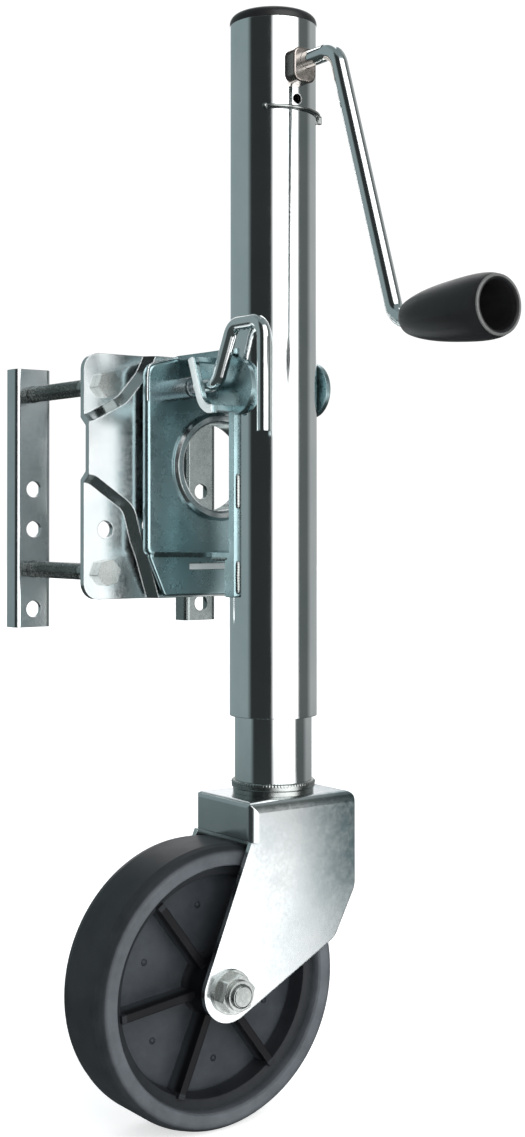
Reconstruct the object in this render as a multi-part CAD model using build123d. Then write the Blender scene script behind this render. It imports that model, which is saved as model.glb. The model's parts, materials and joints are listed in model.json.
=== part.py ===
from build123d import *
import math
import os

# Trailer tongue jack: side-wind swivel jack with a caster wheel.  Millimetres, +Z up.
# Origin: swivel pivot axis on the plane of the mounting pads' back faces.
# -Y points away from the trailer, toward the crank; +X is forward along the trailer tongue.
os.makedirs("parts", exist_ok=True)

# ---- driving dimensions -------------------------------------------------------------
TY = -75.0                                   # tube axis, distance in front of the pads' backs
OUT_R, OUT_IR, OUT_Z0, OUT_Z1 = 25.4, 22.8, -145.7, 255.0
IN_R, IN_IR, IN_Z0, IN_Z1 = 22.4, 19.8, -184.0, 172.0
PLATE_X0, PLATE_X1, PLATE_Z0, PLATE_Z1 = -85.8, 71.8, -79.5, 66.2
PLATE_MID, RAISE, SHEET = -7.0, 6.0, 4.0     # stamped plate: centre line, draw depth, thickness
BOLT_X, BOLT_Z = (PLATE_MID - 64.2, PLATE_MID + 64.2), (47.5, -63.6)
SPARE_Z, BOLT_R, BOLT_HOLE_R = -38.2, 4.76, 5.2
BAR_Y, BAR_Z0, BAR_Z1, BAR_W, BAR_D, BAR_T = 85.0, -100.5, 63.5, 25.4, 12.0, 3.0
BAR_HOLES_Z = (47.5, -12.8, -38.2, -63.6, -89.0)
RING_R, RING_OR = 27.0, 30.0                 # hollow pivot ring, bore and barrel
PAN_X, PAN_Z0, PAN_Z1, PAN_Y0, PAN_T = 51.5, -54.0, 66.5, -19.0, 3.0
SHELF_TOP, SHELF_LOW, CHEEK_X, CHEEK_T = 66.0, -51.5, 25.4, 3.0
GUIDE_X0, GUIDE_X1 = -44.0, -40.5              # outer strap of the pull pin's guide
APRON_Z0 = -78.0                             # lower edge of the pan's apron
PIN_X, PIN_Z, PIN_R = -35.6, 45.0, 4.0       # spring pull pin
HOUSING_R = 6.6                              # barrel that guides the pull pin
CRANK_Z, SHAFT_R, CRANK_THROW = 229.0, 4.75, 156.0
GEAR_N, PINION_N, GEAR_PR = 16, 12, 17.0     # bevel pair, pitch cones meet on the crank axis
WHEEL_X, WHEEL_Z, WHEEL_R, WHEEL_W = -50.3, -291.6, 78.8, 48.4
FORK_TOP, FORK_Q, FORK_T, SKIRT_Z = -190.0, 28.4, 3.2, -212.0
AXLE_R = 6.35


# ---- small helpers ------------------------------------------------------------------
def cyl_y(r, y0, y1, x=0.0, z=0.0):
    return Pos(x, (y0 + y1) / 2, z) * Rot(90, 0, 0) * Cylinder(r, abs(y1 - y0))


def cyl_z(r, z0, z1, x=0.0, y=TY):
    return Pos(x, y, (z0 + z1) / 2) * Cylinder(r, abs(z1 - z0))


def block(x0, x1, y0, y1, z0, z1):
    return Pos((x0 + x1) / 2, (y0 + y1) / 2, (z0 + z1) / 2) * Box(
        abs(x1 - x0), abs(y1 - y0), abs(z1 - z0))


def slab_y(sketch, y_back, y_front, taper=0.0):
    """Profile drawn in (x, z), thick from y_back toward -Y to y_front."""
    at = Plane(origin=(0, y_back, 0), x_dir=(1, 0, 0), z_dir=(0, -1, 0))
    return extrude(at * sketch, y_back - y_front, taper=taper)


def slab_x(sketch, x0, x1):
    """Profile drawn in (y, z), thick from x0 to x1."""
    at = Plane(origin=(x0, 0, 0), x_dir=(0, 1, 0), z_dir=(1, 0, 0))
    return extrude(at * sketch, x1 - x0)


def slab_z(sketch, z0, z1):
    return extrude(Plane.XY.offset(z0) * sketch, z1 - z0)


def poly(points, r=0.0):
    """Closed polygon, with every corner rounded to r."""
    face = make_face(Polyline(*points, close=True))
    return fillet(face.vertices(), r) if r else face


def round_poly(points, radii):
    """Closed polygon with its own radius at each corner."""
    face = make_face(Polyline(*points, close=True))
    for (px, py), r in zip(points, radii):
        if r:
            near = min(face.vertices(), key=lambda v: (v.X - px) ** 2 + (v.Y - py) ** 2)
            face = fillet([near], r)
    return face


def hex_y(across, y0, y1, x, z, bore=0.0, turn=0.0):
    face = Rot(0, 0, turn) * RegularPolygon(across / 2, 6, major_radius=False)
    body = slab_y(Pos(x, z) * face, max(y0, y1), min(y0, y1))
    body &= cyl_y(across * 0.565, y0, y1, x, z)
    return body - cyl_y(bore, y0 + 1, y1 - 1, x, z) if bore else body


def tangent(px, pz, cx, cz, r, side):
    """Point where a line from (px, pz) touches a circle."""
    dx, dz = px - cx, pz - cz
    d = math.hypot(dx, dz)
    a = math.atan2(dz, dx) + side * math.acos(r / d)
    return cx + r * math.cos(a), cz + r * math.sin(a)


def rod(points, r, bend):
    """Round bar through the points, with bends of the given radius."""
    path = FilletPolyline(*points, radius=bend)
    start = Plane(origin=path @ 0, z_dir=path % 0)
    return sweep(start * Circle(r), path=path)


# ---- fixed side: plate, ring, clamp bars and bolts ----------------------------------
def plate_outline():
    x0, x1, z0, z1 = PLATE_X0, PLATE_X1, PLATE_Z0, PLATE_Z1
    return poly([(x0, z0), (x1, z0), (x1, z1), (x0, z1)], 10.0)


def pad_outlines():
    """The four corner pads, which stay at the level of the trailer tongue."""
    low = [(-110, -2), (-81, -6.5), (-55, -24), (-49.5, -44), (-45.5, -54), (-36, -84),
           (-36, -110), (-110, -110)]
    top = [(-110, 18), (-82, 26), (-60, 37), (-45.5, 54), (-37, 72), (-37, 100), (-110, 100)]
    out = []
    for pts, r in ((low, [0, 10, 16, 20, 20, 0, 0, 0]), (top, [0, 8, 18, 18, 0, 0, 0])):
        face = round_poly(pts, r)
        out += [face, mirror(face, about=Plane.YZ.offset(PLATE_MID))]
    return out


def make_frame_plate():
    front = -SHEET - RAISE
    body = slab_y(plate_outline(), 0, front)
    outline = slab_y(plate_outline(), 0, -RAISE)
    backs = None
    for pad in pad_outlines():
        cutter = Plane(origin=(0, front, 0), x_dir=(1, 0, 0), z_dir=(0, -1, 0)) * pad
        body -= extrude(cutter, -RAISE, taper=38)
        seat = Plane(origin=(0, -3.8, 0), x_dir=(1, 0, 0), z_dir=(0, -1, 0)) * pad
        back = extrude(seat, -3.8, taper=38) + extrude(seat, 2.2, taper=-38)
        backs = back if backs is None else backs + back
    body -= outline - backs
    for x in BOLT_X:
        for z in BOLT_Z + (SPARE_Z,):
            body -= cyl_y(BOLT_HOLE_R, 5, -20, x, z)
    body -= cyl_y(RING_OR + 0.05, 5, -20)
    for x, z in ((PIN_X, PIN_Z), (PIN_Z, -PIN_X), (-PIN_Z, PIN_X)):
        body -= cyl_y(PIN_R + 0.4, 5, -20, x, z)
    return body


def make_pivot_ring():
    """Hollow eyelet that holds the swivel bracket's pan against the plate."""
    prof = [(RING_R, -3.6), (RING_OR + 5, -3.6), (RING_OR + 5, -5.9), (RING_OR, -5.9),
            (RING_OR, -19.3), (RING_OR + 3, -19.3), (RING_OR + 3, -20.8), (RING_OR + 1.2, -22.3),
            (RING_R + 1.2, -22.3), (RING_R, -21.0)]
    return revolve(make_face(Polyline(*[(x, y, 0) for x, y in prof], close=True)), Axis.Y)


def make_pivot_washer():
    return cyl_y(42, -10.05, -15.85) - cyl_y(RING_OR + 0.1, 0, -30)


def make_clamp_bar(x):
    body = block(x - BAR_W / 2, x + BAR_W / 2, BAR_Y, BAR_Y + BAR_D, BAR_Z0, BAR_Z1)
    long_edges = body.edges().filter_by(Axis.Z).sort_by(Axis.Y)[:2]
    body = fillet(long_edges, 3.5)
    half = BAR_W / 2 - BAR_T
    body -= block(x - half, x + half, BAR_Y + BAR_T, BAR_Y + BAR_D + 1, BAR_Z0 - 1, BAR_Z1 + 1)
    for z in BAR_HOLES_Z:
        body -= cyl_y(BOLT_HOLE_R, BAR_Y - 5, BAR_Y + 10, x, z)
    return body


def at_bolts(make):
    return Compound(children=[make(x, z) for x in BOLT_X for z in BOLT_Z])


def make_clamp_bolt(x, z):
    head = hex_y(14.3, -SHEET, -SHEET - 5.4, x, z, turn=12)
    return head + cyl_y(BOLT_R, -SHEET - 2, 99.0, x, z)


def make_clamp_washer(x, z):
    return cyl_y(9.2, BAR_Y + BAR_T, BAR_Y + BAR_T + 1.6, x, z) - cyl_y(5.1, 80, 100, x, z)


def make_clamp_nut(x, z):
    y0 = BAR_Y + BAR_T + 1.6
    return hex_y(14.3, y0, y0 + 8, x, z, turn=20) - cyl_y(BOLT_R, 80, 110, x, z)


# ---- swivel side: bracket, tube, cap, bushings --------------------------------------
def cheek_profile():
    ear = Pos(-77, 44) * Circle(16)
    upper = poly([(-36, 66), (-66, 66), (-78, 60), (-78, 31), (-70, 31), (-55.5, 33.2), (-46, 38),
                  (-39.5, 47)], 2.0)
    strip = poly([(-75.5, 40), (-75.5, -77), (-70.5, -77), (-70.5, 40)], 1.0)
    low = poly([(-75.5, -51.5), (-75.5, -77), (-66.5, -77), (-66.5, -51.5)], 1.5)
    return upper + ear + strip + low


def make_pin_guide():
    """Hooked strap outside the left cheek that loops round the pull pin."""
    hook = round_poly([(-51.6, 61.5), (-57.2, 45.6), (-61.6, 33.4), (-69.6, 28.4), (-76, 28.4), (-76, 33),
                       (-71.5, 33.2), (-66, 37), (-62.3, 46.5), (-56.5, 61.5)],
                      [0, 6, 6, 5, 0, 0, 4, 6, 6, 0])
    strap = slab_x(hook, GUIDE_X0, GUIDE_X1)
    strap = fillet(strap.faces().sort_by(Axis.X)[0].edges(), 1.2)
    tab = block(GUIDE_X0 + 1.2, -CHEEK_X - 1, -53, -60, 58.5, 61.5)
    floor = block(GUIDE_X0 + 1.2, -CHEEK_X - 1, -67, -75.9, 29.7, 32.9)
    return strap + tab + floor


def make_swivel_bracket():
    """Stamped pan with a ring hole and an apron, two shelves to the tube, and cheeks at its sides."""
    shoulder = PAN_Z1 - 6.5
    pts = [(-PAN_X, PAN_Z0), (PAN_X, PAN_Z0), (PAN_X, shoulder), (26, PAN_Z1), (-26, PAN_Z1),
           (-PAN_X, shoulder)]
    outer = slab_y(round_poly(pts, [5, 5, 9, 20, 20, 9]), -14.5, PAN_Y0)
    outer = fillet(outer.faces().sort_by(Axis.Y)[0].edges(), 2.4)
    inset = [(x - math.copysign(PAN_T, x), z - math.copysign(PAN_T, z)) for x, z in pts]
    body = outer - slab_y(round_poly(inset, [2, 2, 6, 18, 18, 6]), -10, PAN_Y0 + PAN_T)
    apron = round_poly([(-49, -50), (-49, -55), (-38.5, APRON_Z0), (38.5, APRON_Z0), (49, -55),
                        (49, -50)], [0, 4, 3, 3, 4, 0])
    apron = slab_y(apron, PAN_Y0 + PAN_T, PAN_Y0 + 0.6)
    body += fillet(apron.faces().sort_by(Axis.Y)[0].edges(), 1.2)
    for z0, z1, w, bend in ((SHELF_TOP - 3, SHELF_TOP, 30.0, 4), (SHELF_LOW - 3, SHELF_LOW, 47.0, 14)):
        plan = round_poly([(-w, PAN_Y0 + 1), (w, PAN_Y0 + 1), (28.4, -50), (28.4, -75),
                           (-28.4, -75), (-28.4, -50)], [0, 0, bend, 3, 3, bend])
        body += slab_z(plan, z0, z1)
    face = cheek_profile()
    for s in (-1, 1):
        a, b = sorted((s * CHEEK_X, s * (CHEEK_X + CHEEK_T)))
        body += slab_x(face, a, b)
    body += make_pin_guide()
    body -= cyl_z(OUT_R, -120, 120)
    body -= block(-21, 21, -10, -24, -62.5, -58.5)
    body -= cyl_y(RING_OR + 0.08, 0, -24)
    body -= cyl_y(PIN_R + 0.3, 0, -24, PIN_X, PIN_Z)
    return body - cyl_y(HOUSING_R, PAN_Y0, -47, PIN_X, PIN_Z)


def make_pin_housing():
    body = cyl_y(HOUSING_R, PAN_Y0, -47, PIN_X, PIN_Z)
    body = fillet(body.edges().sort_by(Axis.Y)[:1], 1.5)
    body -= cyl_y(5.6, PAN_Y0 + 1, -44.5, PIN_X, PIN_Z)
    return body - cyl_y(PIN_R + 0.05, 0, -60, PIN_X, PIN_Z)


def make_outer_tube():
    body = cyl_z(OUT_R, OUT_Z0, OUT_Z1) - cyl_z(OUT_IR, OUT_Z0 - 1, OUT_Z1 + 1)
    body -= cyl_y(7.5, TY, TY - 40, 0, CRANK_Z)
    body -= cyl_y(7.5, TY, TY + 40, 0, CRANK_Z)
    return body - cyl_y(2.8, TY, TY - 40, -1.6, 208.2)


def make_top_cap():
    dome = cyl_z(25.4, OUT_Z1, OUT_Z1 + 6.4)
    dome = fillet(dome.edges().sort_by(Axis.Z)[-1:], 4.8)
    return dome + (cyl_z(OUT_IR, 245, OUT_Z1) - cyl_z(20.5, 244, OUT_Z1))


def make_crank_bushing():
    """Square-shouldered bearing block on the outside of the tube, with its spigot inside."""
    y_end = TY - 32.6
    face = RectangleRounded(15.9, 19.7, 5)
    body = slab_y(Pos(-1.35, CRANK_Z - 2.85) * face, TY - 15, y_end) - cyl_z(OUT_R, 200, 260)
    body = fillet(body.faces().sort_by(Axis.Y)[0].edges(), 1.2)
    body += cyl_y(7.5, TY - 20.5, TY - 30, 0, CRANK_Z)
    return body - cyl_y(SHAFT_R + 0.08, TY, TY - 60, 0, CRANK_Z)


def make_rear_bushing():
    body = cyl_y(7.5, TY + 20.5, TY + 27.4, 0, CRANK_Z)
    body += cyl_y(10, TY + 25.6, TY + 27.4, 0, CRANK_Z) - cyl_z(OUT_R, 200, 260)
    return body - cyl_y(SHAFT_R + 0.08, TY, TY + 25.5, 0, CRANK_Z)


def make_wire_clip():
    """Spring wire clip hooked round the tube below the crank, with one lug turned down."""
    r, wire, z, first, arc = OUT_R + 1.15, 1.1, 203.0, 223.4, 205
    start = Plane(origin=(r, 0, 0), x_dir=(1, 0, 0), z_dir=(0, 1, 0))
    body = Rot(0, 0, first) * revolve(start * Circle(wire), Axis.Z, revolution_arc=arc)
    for a in (first, first + arc):
        body += Rot(0, 0, a) * Pos(r + 0.4, 0, 0) * Sphere(1.5)
    body += Rot(0, 0, 325) * Pos(r + 0.4, 0, -2.0) * Cylinder(1.4, 4.4)
    return Pos(0, TY, z) * body


def make_head_plate():
    return cyl_z(OUT_IR, 195.5, 199.5) - cyl_z(7.1, 190, 205)


def make_thrust_washer():
    return cyl_z(15, 199.55, 201.6) - cyl_z(7.1, 190, 205)


# ---- pull pin -----------------------------------------------------------------------
def make_pull_pin():
    """Lock pin bent up into a U-shaped pull handle beside the tube."""
    x, z = PIN_X, PIN_Z
    path = [(x, -10.4, z), (x, -69, z), (x, -85, 78), (x, -114.5, 78), (x, -114.5, 16.5)]
    body = rod(path, PIN_R, 9.5)
    body += cyl_y(5.4, -31.0, -33.5, x, z)
    return body


def make_pin_spring():
    """Return spring between the pin's collar and the end of its housing."""
    length, turns, wire, mean = 9.8, 5, 0.45, 4.85
    path = Helix(pitch=length / turns, height=length, radius=mean)
    coil = sweep(Plane(origin=path @ 0, z_dir=path % 0) * Circle(wire), path=path, is_frenet=True)
    return Pos(PIN_X, -34.1, PIN_Z) * Rot(90, 0, 0) * coil


# ---- crank, gears and lead screw ----------------------------------------------------
def make_crank_arm():
    z0, z1 = CRANK_Z, CRANK_Z - CRANK_THROW
    pts = [(0, TY + 25.3, z0), (0, TY - 58.8, z0), (0, TY - 109.8, z1), (0, TY - 156, z1)]
    return rod(pts, SHAFT_R, [13, 12])


def make_crank_grip():
    """Barrel-shaped hollow hand grip with a rounded lip, open at its outer end."""
    outer = [(6.2, 119.2), (8.3, 120.4), (9.9, 123.5), (12.4, 132.5), (14.8, 147), (16.2, 162),
             (16.8, 174), (16.5, 181), (15.4, 185), (13.6, 186.6)]
    bore = [(13.6, 186.6), (12.7, 185.7), (12.2, 183), (11.4, 152.5), (5.1, 152.5), (5.1, 119.2),
            (6.2, 119.2)]
    with BuildPart() as grip:
        with BuildSketch(Plane.XY):
            with BuildLine():
                Spline(*[(r, TY - q) for r, q in outer])
                Polyline(*[(r, TY - q) for r, q in bore])
            make_face()
        revolve(axis=Axis.Y)
    return Pos(0, 0, CRANK_Z - CRANK_THROW) * grip.part


def make_grip_retainer():
    z = CRANK_Z - CRANK_THROW
    return cyl_y(9, TY - 152.8, TY - 154.6, 0, z) - cyl_y(SHAFT_R, TY, TY - 200, 0, z)


def bevel_gear(teeth, pitch_r, mate_r, face_w, bore, hub_r, back):
    """Bevel gear with straight teeth: apex of its pitch cone at the origin, axis +Z below it."""
    cone = math.hypot(pitch_r, mate_r)
    delta = math.atan2(pitch_r, mate_r)
    module = 2 * pitch_r / teeth
    add, ded = 0.72 * module, 1.0 * module
    s = (cone - face_w) / cone

    def at(dist, rise, across, ang):
        """Point on the back cone: rise is outward from the pitch cone, across is tangential."""
        r = dist * math.sin(delta) + rise * math.cos(delta)
        z = -dist * math.cos(delta) + rise * math.sin(delta)
        return (r * math.cos(ang) - across * math.sin(ang),
                r * math.sin(ang) + across * math.cos(ang), z)

    ro, zo = at(cone, -ded, 0, 0)[0], at(cone, -ded, 0, 0)[2]
    ri, zi = at(cone * s, -ded * s, 0, 0)[0], at(cone * s, -ded * s, 0, 0)[2]
    prof = [(bore, 0, zi), (ri, 0, zi), (ro, 0, zo), (ro - 1, 0, zo - 2.2), (hub_r, 0, zo - 2.2),
            (hub_r, 0, back), (bore, 0, back)]
    body = revolve(make_face(Polyline(*prof, close=True)), Axis.Z)
    pitch = 2 * math.pi * pitch_r / teeth
    for k in range(teeth):
        ang = 2 * math.pi * k / teeth
        rings = []
        for d in (1.0, s):
            top, root, low = 0.11 * pitch * d, 0.27 * pitch * d, -(ded + 0.25) * d
            rings.append([at(cone * d, low, -root, ang), at(cone * d, low, root, ang),
                          at(cone * d, add * d, top, ang), at(cone * d, add * d, -top, ang)])
        body += loft([make_face(Polyline(*q, close=True)) for q in rings])
    return body


def make_bevel_pinion():
    gear = bevel_gear(PINION_N, GEAR_PR * PINION_N / GEAR_N, GEAR_PR, 6.5, SHAFT_R, 8.5, -20.2)
    # local -Z (away from the apex) points to -Y, with a tooth space at the mesh
    return Pos(0, TY, CRANK_Z) * Rot(-90, 0, 0) * Rot(0, 0, 90 + 180 / PINION_N) * gear


def make_bevel_gear():
    gear = bevel_gear(GEAR_N, GEAR_PR, GEAR_PR * PINION_N / GEAR_N, 6.5, 6.5, 12.0, -27.2)
    return Pos(0, TY, CRANK_Z) * Rot(0, 0, 90) * gear


def make_lead_screw():
    """Lead screw: thread grooves, a collar under the head plate and a neck for the gear."""
    r, root, pitch, z_end = 7.9, 6.6, 5.08, -104.0
    pts, z = [(0, 0, 217.0), (6.5, 0, 217.0), (6.5, 0, 195.3), (11, 0, 195.3), (11, 0, 190),
              (root, 0, 190)], 188.0
    while z - pitch > z_end:
        pts += [(root, 0, z), (r, 0, z - 0.8), (r, 0, z - 2.2), (root, 0, z - 3.0)]
        z -= pitch
    pts += [(root, 0, z_end), (0, 0, z_end)]
    return Pos(0, TY, 0) * revolve(make_face(Polyline(*pts, close=True)), Axis.Z)


# ---- inner tube, foot, fork and wheel -----------------------------------------------
def make_inner_tube():
    return cyl_z(IN_R, IN_Z0, IN_Z1) - cyl_z(IN_IR, IN_Z0 - 1, IN_Z1 + 1)


def make_drive_nut():
    body = cyl_z(IN_IR, 150, 170)
    body = chamfer(body.edges().sort_by(Axis.Z)[-1:], 2)
    return body - cyl_z(8.2, 140, 180)


def make_tube_foot():
    """Plug in the end of the inner tube, with a shouldered foot and the caster's king pin."""
    body = cyl_z(IN_IR, -184, -166) + cyl_z(24.2, -187.3, -184)
    body = fillet(body.edges().filter_by(GeomType.CIRCLE).sort_by(Axis.Z)[:1], 1.0)
    body += cyl_z(8, -203.0, -180) + cyl_z(13, -203.0, -197.6)
    return fillet(body.edges().filter_by(GeomType.CIRCLE).sort_by(Axis.Z)[:1], 2.0)


def make_caster_washers():
    top = cyl_z(23.5, -189.95, -187.35) - cyl_z(8.1, -200, -180)
    low = cyl_z(15.5, -197.55, FORK_TOP - 3.55) - cyl_z(8.1, -200, -180)
    return Compound(children=[top, low])


def fork_section(inset, r):
    """Slab along X with the fork's rounded top bends, inset by the sheet's thickness for its inside."""
    w = FORK_Q - inset
    face = round_poly([(TY - w, -400), (TY + w, -400), (TY + w, FORK_TOP - inset),
                       (TY - w, FORK_TOP - inset)], [0, 0, r, r])
    return slab_x(face, -90 if inset == 0 else -36 + inset, 90)


def make_fork():
    """One folded sheet: two legs to the axle, a top, and a short skirt that closes its -X end."""
    cx, cz, r = WHEEL_X, WHEEL_Z, 17.0
    a = tangent(-36.5, SKIRT_Z, cx, cz, r, 1)
    b = tangent(23, -272.5, cx, cz, r, -1)
    side = round_poly([(-36, FORK_TOP), (38, FORK_TOP), (38, -245), (23, -272.5), b, (cx, cz), a,
                       (-36, SKIRT_Z)], [3, 4, 14, 12, 0, 0, 0, 0])
    side += Pos(cx, cz) * Circle(r)
    plan = round_poly([(-36, TY - FORK_Q), (90, TY - FORK_Q), (90, TY + FORK_Q), (-36, TY + FORK_Q)],
                      [5, 0, 0, 5])
    corners = slab_z(plan, SKIRT_Z, FORK_TOP) + block(-90, 90, -150, 0, -400, SKIRT_Z)
    body = slab_y(side, TY + FORK_Q, TY - FORK_Q) & fork_section(0, 6) & corners
    body -= fork_section(FORK_T, 3)
    body -= block(-90, 90, TY - FORK_Q + FORK_T, TY + FORK_Q - FORK_T, -340, SKIRT_Z + 0.5)
    body -= cyl_z(8.3, -200, -180)
    return body - cyl_y(AXLE_R + 0.05, TY + 40, TY - 40, cx, cz)


def make_axle_bolt():
    x, z = WHEEL_X, WHEEL_Z
    body = cyl_y(AXLE_R, TY + 30, TY - 41, x, z)
    body = chamfer(body.edges().filter_by(GeomType.CIRCLE).sort_by(Axis.Y)[:1], 1)
    return body + hex_y(19, TY + FORK_Q + 7.5, TY + FORK_Q, x, z, turn=10)


def make_axle_nut():
    x, z = WHEEL_X, WHEEL_Z
    body = hex_y(19, TY - FORK_Q - 1.8, TY - FORK_Q - 8.3, x, z, turn=14)
    body += cyl_y(8.2, TY - FORK_Q - 5, TY - FORK_Q - 10.5, x, z)
    return body - cyl_y(AXLE_R, TY, TY - 60, x, z)


def make_axle_washer():
    x, z = WHEEL_X, WHEEL_Z
    body = cyl_y(12.2, TY - FORK_Q, TY - FORK_Q - 1.8, x, z)
    return body - cyl_y(AXLE_R + 0.2, TY, TY - 60, x, z)


def make_axle_sleeve():
    x, z, w = WHEEL_X, WHEEL_Z, FORK_Q - FORK_T - 0.02
    return cyl_y(8.6, TY - w, TY + w, x, z) - cyl_y(AXLE_R + 0.05, TY - 40, TY + 40, x, z)


def make_wheel():
    """Moulded wheel: rounded tread, stepped rim, thin web, long hub and six ribs a side."""
    r, w = WHEEL_R, WHEEL_W / 2
    half = [(8.68, 24.6), (13.5, 24.6), (15.5, 22.8), (17.0, 4.5), (60.0, 3.5), (61.5, 14.0),
            (66.8, 15.0), (67.5, w - 3.5), (68.3, w - 2.2), (73.0, w - 2.0), (75.7, w - 3.0),
            (77.8, w - 6.0), (r, w - 10)]
    pts = half + [(x, -y) for x, y in reversed(half)]
    body = revolve(make_face(Polyline(*[(x, y, 0) for x, y in pts], close=True)), Axis.Y)
    for k in range(6):
        rib = block(14, 62.5, -16.5, 16.5, -2.2, 2.2)
        body += Rot(0, -(7 + 60 * k), 0) * rib
    return Pos(WHEEL_X, TY, WHEEL_Z) * body


NODES = {
    "frame_plate": make_frame_plate,
    "pivot_ring": make_pivot_ring,
    "pivot_washer": make_pivot_washer,
    "clamp_bar_left": lambda: make_clamp_bar(BOLT_X[0]),
    "clamp_bar_right": lambda: make_clamp_bar(BOLT_X[1]),
    "clamp_bolts": lambda: at_bolts(make_clamp_bolt),
    "clamp_washers": lambda: at_bolts(make_clamp_washer),
    "clamp_nuts": lambda: at_bolts(make_clamp_nut),
    "swivel_bracket": make_swivel_bracket,
    "pin_housing": make_pin_housing,
    "outer_tube": make_outer_tube,
    "top_cap": make_top_cap,
    "crank_bushing": make_crank_bushing,
    "rear_bushing": make_rear_bushing,
    "wire_clip": make_wire_clip,
    "head_plate": make_head_plate,
    "thrust_washer": make_thrust_washer,
    "pull_pin": make_pull_pin,
    "pin_spring": make_pin_spring,
    "crank_arm": make_crank_arm,
    "crank_grip": make_crank_grip,
    "grip_retainer": make_grip_retainer,
    "bevel_pinion": make_bevel_pinion,
    "bevel_gear": make_bevel_gear,
    "lead_screw": make_lead_screw,
    "inner_tube": make_inner_tube,
    "drive_nut": make_drive_nut,
    "tube_foot": make_tube_foot,
    "caster_washers": make_caster_washers,
    "fork": make_fork,
    "axle_bolt": make_axle_bolt,
    "axle_nut": make_axle_nut,
    "axle_washer": make_axle_washer,
    "axle_sleeve": make_axle_sleeve,
    "wheel": make_wheel,
}

if __name__ == "__main__":
    for name, make in NODES.items():
        shape = make()
        print(name, len(shape.solids()), round(shape.volume, 1), flush=True)
        export_step(shape, f"parts/{name}.step")
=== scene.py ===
"""Trailer tongue jack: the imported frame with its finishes, small welded and threaded details,
studio light and camera."""
import json
import math
import random

import bmesh
import bpy
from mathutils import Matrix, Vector, noise


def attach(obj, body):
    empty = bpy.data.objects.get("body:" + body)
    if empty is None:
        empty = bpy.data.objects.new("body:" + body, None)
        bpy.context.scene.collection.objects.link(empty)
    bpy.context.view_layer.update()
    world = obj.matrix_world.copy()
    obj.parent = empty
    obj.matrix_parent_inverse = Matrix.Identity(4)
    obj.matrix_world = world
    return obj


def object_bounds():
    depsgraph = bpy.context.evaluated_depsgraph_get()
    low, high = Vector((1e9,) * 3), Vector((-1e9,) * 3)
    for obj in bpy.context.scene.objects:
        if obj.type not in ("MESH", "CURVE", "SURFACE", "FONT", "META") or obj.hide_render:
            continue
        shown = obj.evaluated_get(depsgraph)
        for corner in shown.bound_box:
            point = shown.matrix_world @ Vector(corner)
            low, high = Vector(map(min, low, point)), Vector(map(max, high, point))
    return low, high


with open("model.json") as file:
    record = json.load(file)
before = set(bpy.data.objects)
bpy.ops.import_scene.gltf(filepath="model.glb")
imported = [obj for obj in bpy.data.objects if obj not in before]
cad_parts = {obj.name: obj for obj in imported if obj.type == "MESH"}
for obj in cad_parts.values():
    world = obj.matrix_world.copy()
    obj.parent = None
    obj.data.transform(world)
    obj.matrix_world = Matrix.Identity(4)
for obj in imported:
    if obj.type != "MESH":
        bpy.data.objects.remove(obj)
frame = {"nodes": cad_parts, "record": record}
cad_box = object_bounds()
nodes = frame["nodes"]
MM = 0.001
rng = random.Random(7)

# places on the jack, in millimetres of the shared frame
TUBE_Y = -75.0                                  # the axis of both tubes is upright, at x = 0
WHEEL_X, WHEEL_Z = -50.3, -291.6                # the axle line, along Y
YAW = 36.19                                     # the camera looks along +Y turned this many degrees toward +X


# ---------------------------------------------------------------- shader nodes
MIX_FACTOR, MIX_A, MIX_B, MIX_RESULT = 0, 6, 7, 2       # socket places of a colour Mix node


def node(tree, kind, at, **values):
    made = tree.nodes.new(kind)
    made.location = at
    for key, value in values.items():
        setattr(made, key, value)
    return made


def link(tree, a, out, b, into):
    tree.links.new(a.outputs[out], b.inputs[into])


def blank(name):
    mat = bpy.data.materials.new(name)
    mat.use_nodes = True
    tree = mat.node_tree
    tree.nodes.clear()
    out = node(tree, "ShaderNodeOutputMaterial", (900, 0))
    shader = node(tree, "ShaderNodeBsdfPrincipled", (600, 0))
    link(tree, shader, "BSDF", out, "Surface")
    where = node(tree, "ShaderNodeTexCoord", (-1200, 0))
    return mat, tree, shader, where


def parts_of(mat):
    """A finish's tree with its coordinates, colour ramp and shader, to build a further tone on."""
    found = {part.type: part for part in mat.node_tree.nodes}
    return mat.node_tree, found["TEX_COORD"], found["VALTORGB"], found["BSDF_PRINCIPLED"]


def grain(tree, where, scale, detail, rough, at, stretch=(1, 1, 1)):
    """Noise in the object's own metres, stretched along an axis where stretch is below 1."""
    place = node(tree, "ShaderNodeMapping", (at[0] - 200, at[1]))
    place.inputs["Scale"].default_value = stretch
    link(tree, where, "Object", place, "Vector")
    made = node(tree, "ShaderNodeTexNoise", at)
    made.inputs["Scale"].default_value = scale
    made.inputs["Detail"].default_value = detail
    made.inputs["Roughness"].default_value = rough
    link(tree, place, "Vector", made, "Vector")
    return made


def ramp(tree, source, stops, at, out="Fac"):
    """Colours by value, from (value, colour) stops."""
    made = node(tree, "ShaderNodeValToRGB", at)
    band = made.color_ramp
    while len(band.elements) < len(stops):
        band.elements.new(0.5)
    for element, (place, colour) in zip(band.elements, stops):
        element.position = place
        element.color = (*colour, 1.0)
    link(tree, source, out, made, "Fac")
    return made


def remap(tree, source, out, reads, gives=(0.0, 1.0), at=(0, 0), smooth=False):
    """One range of a value mapped onto another; smooth eases both ends."""
    made = node(tree, "ShaderNodeMapRange", at)
    if smooth:
        made.interpolation_type = "SMOOTHSTEP"
    for socket, value in zip(("From Min", "From Max", "To Min", "To Max"), (*reads, *gives)):
        made.inputs[socket].default_value = value
    link(tree, source, out, made, "Value")
    return made


def product(tree, a, b, at):
    """Two masks multiplied."""
    made = node(tree, "ShaderNodeMath", at, operation="MULTIPLY")
    link(tree, a, 0, made, 0)
    link(tree, b, 0, made, 1)
    return made


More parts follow.
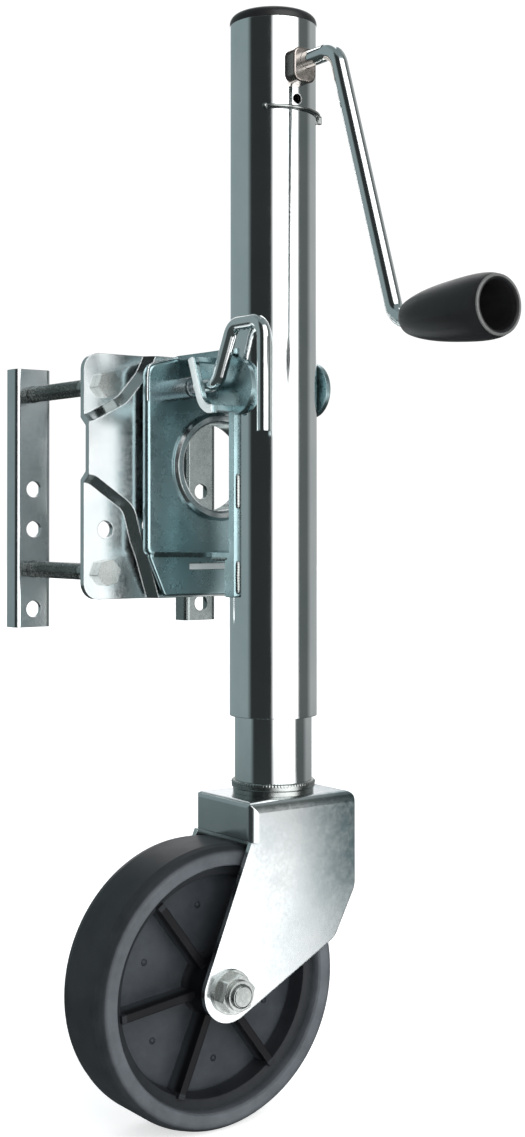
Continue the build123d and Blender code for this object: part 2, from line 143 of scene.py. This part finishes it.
def over(tree, below, mask, colour, at):
    """A plain colour laid over a colour output where the mask is 1."""
    made = node(tree, "ShaderNodeMix", at, data_type="RGBA")
    made.inputs[MIX_B].default_value = (*colour, 1)
    link(tree, mask, 0, made, MIX_FACTOR)
    tree.links.new(below, made.inputs[MIX_A])
    return made.outputs[MIX_RESULT]


def relief(tree, shader, source, strength, depth, edge):
    """Bump from a noise on top of the rounding of the edges; depth and edge are in metres."""
    bump = node(tree, "ShaderNodeBump", (200, -300))
    bump.inputs["Strength"].default_value = strength
    bump.inputs["Distance"].default_value = depth
    link(tree, source, "Fac", bump, "Height")
    soft = node(tree, "ShaderNodeBevel", (0, -400), samples=4)
    soft.inputs["Radius"].default_value = edge
    link(tree, soft, "Normal", bump, "Normal")
    link(tree, bump, "Normal", shader, "Normal")


# ---------------------------------------------------------------- finishes
def plated(name, clean, tint, rough, bump, edge=0.0007, blotch=28.0, streak=(1, 1, 1), fine=500.0):
    """Zinc plate: cloudy passivation tint, uneven gloss, faint rolling marks."""
    mat, tree, shader, where = blank(name)
    cloud = grain(tree, where, blotch, detail=5.0, rough=0.6, at=(-800, 300))
    colour = ramp(tree, cloud, [(0.30, tint), (0.62, clean)], (-500, 300))
    link(tree, colour, "Color", shader, "Base Color")
    marks = grain(tree, where, fine, detail=2.0, rough=0.5, at=(-800, -100), stretch=streak)
    smear = grain(tree, where, blotch * 2.3, detail=6.0, rough=0.7, at=(-800, -350))
    both = node(tree, "ShaderNodeMath", (-500, -200), operation="ADD")
    link(tree, marks, "Fac", both, 0)
    link(tree, smear, "Fac", both, 1)
    gloss = remap(tree, both, 0, (0.75, 1.25), rough, (-250, -200))
    link(tree, gloss, "Result", shader, "Roughness")
    relief(tree, shader, marks, strength=bump, depth=0.0001, edge=edge)
    shader.inputs["Metallic"].default_value = 1.0
    return mat


def moulded(name, colour, worn, rough, skin, bump, shine=0.5):
    """Moulded plastic: fine skin grain, duller patches, paler scuffs."""
    mat, tree, shader, where = blank(name)
    pores = grain(tree, where, skin, detail=3.0, rough=0.5, at=(-800, -100))
    patch = grain(tree, where, 45.0, detail=6.0, rough=0.65, at=(-800, 300))
    tone = ramp(tree, patch, [(0.35, colour), (0.72, worn)], (-500, 300))
    link(tree, tone, "Color", shader, "Base Color")
    gloss = remap(tree, patch, "Fac", (0.3, 0.7), rough, (-300, -200))
    link(tree, gloss, "Result", shader, "Roughness")
    relief(tree, shader, pores, strength=bump, depth=0.0002, edge=0.0008)
    shader.inputs["Specular IOR Level"].default_value = shine
    return mat


ZINC_LOOK = {"clean": (0.66, 0.69, 0.695), "tint": (0.58, 0.62, 0.63), "rough": (0.14, 0.22), "bump": 0.04}
SMALL_EDGE = 0.0004                             # metres of edge rounding on small parts

ZINC = plated("zinc_plate_finish", **ZINC_LOOK)
BLUE = plated("blue_zinc_finish", clean=(0.37, 0.50, 0.52), tint=(0.31, 0.43, 0.45),
              rough=(0.25, 0.31), bump=0.004, fine=140.0)
# painted shade: the pin housing sits in the dark pocket under the bracket's top shelf, so its finish is
# painted dark
SHADE = plated("pin_housing_painted_shade_finish", clean=(0.22, 0.26, 0.28), tint=(0.16, 0.19, 0.20),
               rough=(0.22, 0.32), bump=0.05)
BRONZE = plated("bearing_finish", clean=(0.44, 0.40, 0.37), tint=(0.32, 0.28, 0.26),
                rough=(0.18, 0.30), bump=0.04, edge=SMALL_EDGE)
# painted shade: a darker copy of the zinc given only to the far clamp bar, which lies in shade behind the
# plate
FAR_BAR_SHADE = plated("far_clamp_bar_painted_shade_finish", clean=(0.30, 0.335, 0.33), tint=(0.20, 0.235, 0.23),
              rough=(0.20, 0.32), bump=0.04)
BRIGHT = plated("bright_zinc_finish", clean=(0.80, 0.82, 0.82), tint=(0.71, 0.75, 0.76),
                rough=(0.06, 0.12), bump=0.03, streak=(1, 1, 0.04))
HARDWARE = plated("zinc_hardware_finish", clean=(0.40, 0.42, 0.41), tint=(0.24, 0.26, 0.25),
                  rough=(0.16, 0.30), bump=0.08, edge=SMALL_EDGE)
STEEL = plated("plain_steel_finish", clean=(0.44, 0.45, 0.46), tint=(0.30, 0.29, 0.28),
               rough=(0.30, 0.48), bump=0.15, edge=SMALL_EDGE)
BRASS = plated("brass_finish", clean=(0.74, 0.57, 0.29), tint=(0.60, 0.42, 0.19),
               rough=(0.22, 0.36), bump=0.10, edge=SMALL_EDGE)
NYLON = moulded("nylon_finish", colour=(0.80, 0.80, 0.76), worn=(0.70, 0.70, 0.64),
                rough=(0.42, 0.58), skin=900.0, bump=0.2)
BLACK = moulded("black_plastic_finish", colour=(0.010, 0.010, 0.011), worn=(0.018, 0.018, 0.019),
                rough=(0.30, 0.42), skin=1600.0, bump=0.25, shine=0.35)
# painted highlight: a pale, nearly non-metallic finish that looks light from every side, standing for the
# white light caught by the apron strip and the guide rim
EDGE_HIGHLIGHT = plated("edge_painted_highlight_finish", clean=(0.86, 0.93, 0.94), tint=(0.76, 0.84, 0.85),
               rough=(0.38, 0.50), bump=0.02)
EDGE_HIGHLIGHT.node_tree.nodes["Principled BSDF"].inputs["Metallic"].default_value = 0.10
# painted highlight: a grey ring on the open end of the black grip stands for the light caught on its rim
GRIP_LIP_HIGHLIGHT = moulded("grip_lip_painted_highlight_finish", colour=(0.10, 0.10, 0.10), worn=(0.16, 0.16, 0.16),
              rough=(0.25, 0.35), skin=1600.0, bump=0.15)


def fork_finish():
    """Zinc with painted shade: a mottled blue-grey laid over the upper front corner of the legs."""
    mat = plated("fork_plate_painted_shade_finish", **ZINC_LOOK)
    tree, where, tone, shader = parts_of(mat)
    split = node(tree, "ShaderNodeSeparateXYZ", (-800, 600))
    link(tree, where, "Object", split, "Vector")
    front = remap(tree, split, "X", (-0.012, 0.040), at=(-600, 600), smooth=True)
    upper = remap(tree, split, "Z", (-0.285, -0.225), at=(-600, 450), smooth=True)
    corner = product(tree, front, upper, (-400, 600))
    speck = grain(tree, where, 190.0, detail=5.0, rough=0.7, at=(-800, 800))
    mottle = remap(tree, speck, "Fac", (0.30, 0.60), (0.62, 1.0), (-500, 800))
    uneven = product(tree, corner, mottle, (-300, 700))
    # painted shade: blue-grey over the upper front corner of the legs, broken by a speckle
    painted_shade = over(tree, tone.outputs["Color"], uneven, (0.17, 0.235, 0.25), (0, 600))
    tree.links.new(painted_shade, shader.inputs["Base Color"])
    return mat


WHEEL_REACH = 0.080                             # metres from the axle line at which the tone scale ends
# painted light and shade on the wheel, by distance from the axle: a darker wall inside the rim as painted
# shade, a painted highlight on the rim's lip, and the rest of the rim face painted lighter as lit
WHEEL_PAINTED_LIGHT = [                                 # share of that reach, and what it multiplies the plastic by
    (0.20, (0.9, 0.9, 0.9)),                                    # hub
    (0.22, (1.7, 1.85, 1.9)), (0.73, (2.1, 2.3, 2.4)),          # web
    (0.76, (0.9, 0.95, 1.0)), (0.832, (1.1, 1.2, 1.2)),         # wall inside the rim
    (0.845, (6.2, 6.5, 6.5)), (0.857, (4.6, 4.85, 4.85)), (0.925, (4.3, 4.55, 4.55)),   # rim face
    (0.955, (1.3, 1.4, 1.4))]                                   # tread


def wheel_finish():
    """Dark plastic with painted light and shade by distance from the axle line: a painted highlight on the
    rim's lip, a rim face painted lighter as lit, painted shade on the wall inside the rim, a greyer web,
    darker hub, tread and ribs.
    """
    mat = moulded("wheel_plastic_finish", colour=(0.016, 0.017, 0.019), worn=(0.026, 0.027, 0.030),
                  rough=(0.32, 0.48), skin=1100.0, bump=0.25, shine=0.14)
    tree, where, tone, shader = parts_of(mat)
    centred = node(tree, "ShaderNodeVectorMath", (-1000, 800), operation="SUBTRACT")
    centred.inputs[1].default_value = (WHEEL_X * MM, TUBE_Y * MM, WHEEL_Z * MM)
    link(tree, where, "Object", centred, 0)
    flat = node(tree, "ShaderNodeVectorMath", (-800, 800), operation="MULTIPLY")
    flat.inputs[1].default_value = (1, 0, 1)
    link(tree, centred, 0, flat, 0)
    reach = node(tree, "ShaderNodeVectorMath", (-600, 800), operation="LENGTH")
    link(tree, flat, 0, reach, 0)
    share = remap(tree, reach, "Value", (0.0, WHEEL_REACH), at=(-400, 800))
    rings = ramp(tree, share, WHEEL_PAINTED_LIGHT, (-200, 800), out="Result")
    # the ribs are what stands proud of the web inside the rim; they are painted darker
    depth = node(tree, "ShaderNodeSeparateXYZ", (-800, 600))
    link(tree, centred, 0, depth, "Vector")
    off_middle = node(tree, "ShaderNodeMath", (-600, 600), operation="ABSOLUTE")
    link(tree, depth, "Y", off_middle, 0)
    proud = remap(tree, off_middle, 0, (0.008, 0.012), at=(-400, 600))
    inside = remap(tree, reach, "Value", (0.0602, 0.0592), at=(-400, 400))
    ribs = product(tree, proud, inside, (-200, 500))
    shade = over(tree, rings.outputs["Color"], ribs, (0.22, 0.22, 0.25), (0, 700))
    both = node(tree, "ShaderNodeVectorMath", (250, 500), operation="MULTIPLY")
    link(tree, tone, "Color", both, 0)
    tree.links.new(shade, both.inputs[1])
    link(tree, both, 0, shader, "Base Color")
    return mat


WHEEL = wheel_finish()

FINISH = {"zinc_plate": ZINC, "blue_zinc": BLUE, "bright_zinc": BRIGHT, "zinc_hardware": HARDWARE,
          "plain_steel": STEEL, "brass": BRASS, "nylon": NYLON, "black_plastic": BLACK,
          "wheel_plastic": WHEEL}
for part in frame["record"]["subparts"]:
    slots = nodes[part["node"]].data.materials
    slots.clear()
    slots.append(FINISH[part["material_slot"]])
# finishes for single parts: painted shade on the pin housing, the fork's upper front corner and the far clamp
# bar; the bronze of the crank bushing is its own tone
for name, finish in (("pin_housing", SHADE), ("crank_bushing", BRONZE), ("fork", fork_finish()),
                     ("clamp_bar_right", FAR_BAR_SHADE)):
    nodes[name].data.materials[0] = finish


# ---------------------------------------------------------------- detail pieces
def piece(name, mesh, finish, body, smooth=True):
    obj = bpy.data.objects.new(name, mesh)
    bpy.context.scene.collection.objects.link(obj)
    mesh.materials.append(finish)
    for face in mesh.polygons:
        face.use_smooth = smooth
    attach(obj, body)
    return obj


def around(count):
    """The angles of one full turn in equal steps."""
    return [2 * math.pi * j / count for j in range(count)]


def loft(name, rings, closed=False):
    """A mesh through rings of points; open ends are capped."""
    made = bmesh.new()
    rows = [[made.verts.new(p) for p in ring] for ring in rings]
    count = len(rows[0])
    last = len(rows) if closed else len(rows) - 1
    for i in range(last):
        a, b = rows[i], rows[(i + 1) % len(rows)]
        for j in range(count):
            k = (j + 1) % count
            made.faces.new((a[j], a[k], b[k], b[j]))
    if not closed:
        made.faces.new(list(reversed(rows[0])))
        made.faces.new(rows[-1])
    bmesh.ops.recalc_face_normals(made, faces=made.faces)
    mesh = bpy.data.meshes.new(name)
    made.to_mesh(mesh)
    made.free()
    return mesh


def weld_bead(name, start, end, up, width, body, ripple=1.6):
    """A straight weld bead with overlapping ripples; up points away from the metal."""
    start, end, up = Vector(start) * MM, Vector(end) * MM, Vector(up).normalized()
    along = (end - start).normalized()
    side = along.cross(up)
    length = (end - start).length
    steps = max(12, int(length / (ripple * MM) * 6))
    seed = rng.random() * 10
    rings = []
    for i in range(steps + 1):
        t = i / steps
        s = t * length
        phase = s / (ripple * MM) % 1.0
        lump = 0.86 + 0.14 * math.sin(math.pi * phase) + 0.10 * noise.noise((s * 300, seed, 0))
        taper = min(1.0, math.sqrt(max(0.02, min(t, 1 - t) * length / (1.5 * width * MM))))
        r = width * MM * lump * taper
        sway = side * (0.12 * width * MM * noise.noise((s * 150, seed, 5)))
        centre = start + along * s + sway
        rings.append([centre + side * (r * math.cos(a)) + up * (0.62 * r * math.sin(a))
                      for a in around(14)])
    return piece(name, loft(name, rings), HARDWARE, body)


def thread(name, x, z, r, y0, y1, pitch, body, deep=0.55):
    """Screw thread about a line along Y: a helical ridge on a core, which is bare at both ends."""
    per_turn, per_pitch, flat = 28, 8, 1.2      # points round, rows along, how much the crest is cut flat
    rows = int((y1 - y0) / pitch * per_pitch)
    rings = []
    for i in range(rows + 1):
        y = y0 + (y1 - y0) * i / rows
        ring = []
        for j, a in enumerate(around(per_turn)):
            phase = ((y - y0) / pitch - j / per_turn) % 1.0
            crest = 1.0 - abs(2 * phase - 1.0)
            ridge = deep * min(1.0, crest * flat) if y0 < y < y1 else 0.0
            rad = r - deep + ridge
            ring.append(((x + rad * math.cos(a)) * MM, y * MM, (z + rad * math.sin(a)) * MM))
        rings.append(ring)
    return piece(name, loft(name, rings), HARDWARE, body)


def ring_bead(name, centre, radius, width, body, ripple=1.7):
    """A closed weld bead round an upright tube, with overlapping ripples."""
    count = max(48, int(2 * math.pi * radius / ripple * 5))
    seed = rng.random() * 10
    rings = []
    for a in around(count):
        phase = radius * a / ripple % 1.0
        r = width * (0.86 + 0.14 * math.sin(math.pi * phase) + 0.10 * noise.noise((a * 6, seed, 0)))
        out = Vector((math.cos(a), math.sin(a), 0))
        rings.append([(Vector(centre) + out * (radius + r * math.cos(b))
                       + Vector((0, 0, r * math.sin(b)))) * MM for b in around(12)])
    return piece(name, loft(name, rings, closed=True), HARDWARE, body)


def ring_y(name, centre, radius, width, finish, body):
    """A thin round ring about a line along Y."""
    rings = []
    for a in around(96):
        out = Vector((math.cos(a), 0, math.sin(a)))
        rings.append([(Vector(centre) + out * (radius + width * math.cos(b))
                       + Vector((0, width * 0.8 * math.sin(b), 0))) * MM for b in around(12)])
    return piece(name, loft(name, rings, closed=True), finish, body)


def rounded_rim(name, points, across, high, half, finish):
    """A low half-round rim on the bracket along a softened path; across is the way it stands up."""
    path = [Vector(p) for p in points]
    for _ in range(3):                          # each pass cuts every corner at its quarter points
        cut = [path[0]]
        for a, b in zip(path, path[1:]):
            cut += [a.lerp(b, 0.25), a.lerp(b, 0.75)]
        path = cut + [path[-1]]
    up = Vector(across)
    rings = []
    for i, p in enumerate(path):
        along = (path[min(i + 1, len(path) - 1)] - path[max(i - 1, 0)]).normalized()
        side = along.cross(up).normalized()
        taper = 0.35 if i in (0, len(path) - 1) else 1.0
        rings.append([(p + side * (half * taper * math.cos(a)) + up * (high * taper * math.sin(a))) * MM
                      for a in around(16)])
    return piece(name, loft(name, rings), finish, "swivel")


def slab(name, low, high, finish, body):
    """A small flat strip between two corners."""
    corners = ((low[0], low[2]), (high[0], low[2]), (high[0], high[2]), (low[0], high[2]))
    rings = [[Vector((x, y, z)) * MM for x, z in corners] for y in (low[1], high[1])]
    return piece(name, loft(name, rings), finish, body, smooth=False)


def pip_y(name, x, y, z, r, height, toward, finish, body):
    """A low round pip with a softened rim, on a face that looks along Y; toward is -1 or 1."""
    rings = []
    for share, up in ((1.0, -0.3), (1.0, 0.45), (0.90, 0.85), (0.78, 1.0)):
        rings.append([Vector((x + r * share * math.cos(a), y + toward * height * up,
                              z + r * share * math.sin(a))) * MM for a in around(24)])
    return piece(name, loft(name, rings), finish, body)


# threads on the four clamp bolts and on the axle
BOLT_X = (("left", -71.2), ("right", 57.2))
BOLT_Z = (("upper", 47.5), ("lower", -63.6))
for side, x in BOLT_X:
    for level, z in BOLT_Z:
        thread(f"bolt_thread_{side}_{level}", x, z, r=5.1, y0=22, y1=98.9, pitch=1.5, body="frame")
thread("axle_thread", WHEEL_X, WHEEL_Z, r=6.5, y0=-115.6, y1=-104.0, pitch=1.6, body="caster", deep=0.5)

# welds between the bracket's cheeks and the tube, and under its lower shelf
CHEEK_WELD_X, CHEEK_WELD_Y = 26.0, -75.9
SHELF_WELD_X, SHELF_UNDER = 27.6, -55.2
for side, sign in (("left", -1), ("right", 1)):
    for level, z0, z1 in (("low", -75, -56), ("mid", -26, -6)):
        x = sign * CHEEK_WELD_X
        weld_bead(f"cheek_weld_{side}_{level}", (x, CHEEK_WELD_Y, z0), (x, CHEEK_WELD_Y, z1),
                  up=(sign * 0.5, -0.85, 0), width=1.3, body="swivel")
    x = sign * SHELF_WELD_X
    weld_bead(f"shelf_weld_{side}", (x, -52, SHELF_UNDER), (x, -70, SHELF_UNDER),
              up=(sign * 0.7, 0, -0.7), width=1.5, body="swivel")

# lips and rims: the grip lip, the apron strip and the guide rim are pale painted highlights; the pan rim is
# plain zinc
GUIDE_X, PAN_Y = -44.0, -19.0                   # outer face of the strap, front face of the pan
GRIP_END_Y, GRIP_Z = TUBE_Y - 185.75, 73        # open end and axis of the hand grip
ring_y("grip_lip", (0, GRIP_END_Y, GRIP_Z), 14.5, 0.95, GRIP_LIP_HIGHLIGHT, "crank")
# painted highlight: a thin pale strip where the apron's edge catches light
slab("apron_highlight_strip", (-20.8, -18.9, -62.3), (20.8, -17.2, -58.7), EDGE_HIGHLIGHT, "swivel")
rounded_rim("guide_rim",
            [(GUIDE_X, y, z) for y, z in ((-54.0, 61.0), (-59.8, 46.0), (-63.8, 35.2), (-70.5, 30.8),
                                          (-75.8, 30.7))],
            across=(1, 0, 0), high=0.8, half=2.5, finish=EDGE_HIGHLIGHT)
rounded_rim("pan_rim",
            [(x, PAN_Y, z) for x, z in ((-50.9, 38), (-50.9, 57.5), (-48, 60.6), (-26, 65.9),
                                        (-16, 65.9))],
            across=(0, 1, 0), high=0.35, half=0.85, finish=ZINC)
ring_bead("foot_weld", (0, TUBE_Y, -184.2), radius=22.9, width=1.5, body="lift")

# small moulding pips on both sides of the wheel's web
PIP_CIRCLE, PIP_START, PIP_Y = 44, 37, 4.0      # radius in mm, first one in degrees, mm off the middle
for side, toward in (("near", -1), ("far", 1)):
    for k in range(6):
        a = math.radians(PIP_START + 60 * k)
        pip_y(f"wheel_pip_{side}_{k}", WHEEL_X + PIP_CIRCLE * math.cos(a), TUBE_Y + toward * PIP_Y,
              WHEEL_Z + PIP_CIRCLE * math.sin(a), 1.9, 0.14, toward, WHEEL, "wheel")


# ---------------------------------------------------------------- floor, light, camera
def floor_disc(radius, z):
    """Plain pale paper under the jack, which the metal doesn't mirror."""
    made = bmesh.new()
    bmesh.ops.create_circle(made, cap_ends=True, segments=96, radius=radius)
    mesh = bpy.data.meshes.new("floor")
    made.to_mesh(mesh)
    made.free()
    obj = bpy.data.objects.new("floor", mesh)
    bpy.context.scene.collection.objects.link(obj)
    obj.location = (0, TUBE_Y * MM, z)
    mat, _, shader, _ = blank("floor_paper")
    shader.inputs["Base Color"].default_value = (0.90, 0.90, 0.90, 1)
    shader.inputs["Roughness"].default_value = 0.9
    shader.inputs["Specular IOR Level"].default_value = 0.1
    shader.inputs["Emission Color"].default_value = (1, 1, 1, 1)
    shader.inputs["Emission Strength"].default_value = 0.62
    mesh.materials.append(mat)
    obj.visible_glossy = False


floor_disc(radius=12.0, z=cad_box[0][2])

# the room's light, by part of the room
WHITE, BLACK_FLAG, SCREEN = (3.0, 3.0, 3.0), (0.030, 0.034, 0.034), (1.3, 1.3, 1.32)
GREY, DIM, SOFT = (0.28, 0.35, 0.36), (0.12, 0.135, 0.133), (0.42, 0.44, 0.44)
CEILING, GROUND = (0.22, 0.27, 0.28), (0.055, 0.066, 0.066)
WALLS = [                                       # degrees round from the camera, and the wall's light there
    (-180, SOFT), (-150, GREY), (-72, GREY), (-60, BLACK_FLAG), (-6, BLACK_FLAG), (8, WHITE), (60, WHITE),
    (72, DIM), (100, DIM), (118, SOFT), (180, SOFT)]


def studio_world():
    """A white studio with dark flags: light by compass direction, plain white to the camera itself."""
    world = bpy.data.worlds.new("studio")
    bpy.context.scene.world = world
    world.use_nodes = True
    tree = world.node_tree
    tree.nodes.clear()
    out = node(tree, "ShaderNodeOutputWorld", (1200, 0))
    where = node(tree, "ShaderNodeTexCoord", (-1400, 0))
    split = node(tree, "ShaderNodeSeparateXYZ", (-1100, -500))
    link(tree, where, "Generated", split, "Vector")

    # the compass angle of a direction: 0 toward the camera, positive on the camera's right
    yaw = math.radians(YAW)
    angle = node(tree, "ShaderNodeMath", (-900, 0), operation="ARCTAN2")
    for i, axis in enumerate(((math.cos(yaw), -math.sin(yaw), 0), (-math.sin(yaw), -math.cos(yaw), 0))):
        dot = node(tree, "ShaderNodeVectorMath", (-1100, -200 * i), operation="DOT_PRODUCT")
        dot.inputs[1].default_value = axis
        link(tree, where, "Generated", dot, 0)
        link(tree, dot, "Value", angle, i)
    turn = remap(tree, angle, 0, (-math.pi, math.pi), at=(-700, 0))
    walls = ramp(tree, turn, [((degrees + 180) / 360, light) for degrees, light in WALLS],
                 (-450, 0), out="Result")

    def step(source, name, low, high, at):
        return remap(tree, source, name, (low, high), at=at, smooth=True)

    light = over(tree, walls.outputs["Color"], step(split, "Z", 0.77, 0.85, (-700, -350)), CEILING, (-100, 0))
    light = over(tree, light, step(split, "Z", -0.10, -0.26, (-700, -550)), GROUND, (100, 0))

    # a pale screen behind the jack, which only level top faces and grazing edges see
    away = node(tree, "ShaderNodeMath", (-700, -1150), operation="ABSOLUTE")
    link(tree, angle, 0, away, 0)
    behind = step(away, 0, math.radians(150), math.radians(164), (-500, -1150))
    risen = step(split, "Z", 0.06, 0.12, (-500, -1350))
    light = over(tree, light, product(tree, behind, risen, (-250, -1200)), SCREEN, (250, -200))

    # a white box low down on the camera's right
    low_box = step(split, "Z", -0.15, -0.20, (-700, -750))
    for source, name, low, high in ((angle, 0, math.radians(76), math.radians(71)),
                                    (angle, 0, math.radians(5), math.radians(30)),
                                    (split, "Z", -0.72, -0.55)):
        low_box = product(tree, low_box, step(source, name, low, high, (-700, -950)), (-400, -800))
    light = over(tree, light, low_box, WHITE, (300, 0))

    room = node(tree, "ShaderNodeBackground", (500, 0))
    tree.links.new(light, room.inputs["Color"])
    plain = node(tree, "ShaderNodeBackground", (500, -200))
    plain.inputs["Color"].default_value = (1, 1, 1, 1)
    plain.inputs["Strength"].default_value = 1.05
    path = node(tree, "ShaderNodeLightPath", (500, 300))
    pick = node(tree, "ShaderNodeMixShader", (900, 0))
    link(tree, path, "Is Camera Ray", pick, 0)
    link(tree, room, 0, pick, 1)
    link(tree, plain, 0, pick, 2)
    link(tree, pick, 0, out, "Surface")


def area_light(name, at, aim, size, power):
    data = bpy.data.lights.new(name, "AREA")
    data.shape = "RECTANGLE"
    data.size, data.size_y = size
    data.energy = power
    obj = bpy.data.objects.new(name, data)
    bpy.context.scene.collection.objects.link(obj)
    obj.location = at
    obj.rotation_euler = (Vector(aim) - Vector(at)).to_track_quat("-Z", "Y").to_euler()
    return obj


studio_world()
overhead = area_light("overhead", (0.3, -0.4, 1.9), aim=(0, -0.05, 0), size=(1.2, 1.2), power=9)
overhead.visible_glossy = False

camera_data = bpy.data.cameras.new("camera")
camera_data.lens = 51.22
camera_data.sensor_width = 36.0
camera_data.shift_y = -0.0549
camera_data.clip_start = 0.05
camera = bpy.data.objects.new("camera", camera_data)
camera.location = (-0.5620, -0.8326, -0.0343)
camera.rotation_euler = (math.radians(90.6), 0, -math.radians(YAW))
bpy.context.scene.collection.objects.link(camera)
bpy.context.scene.camera = camera
bpy.context.scene.view_settings.view_transform = "Standard"
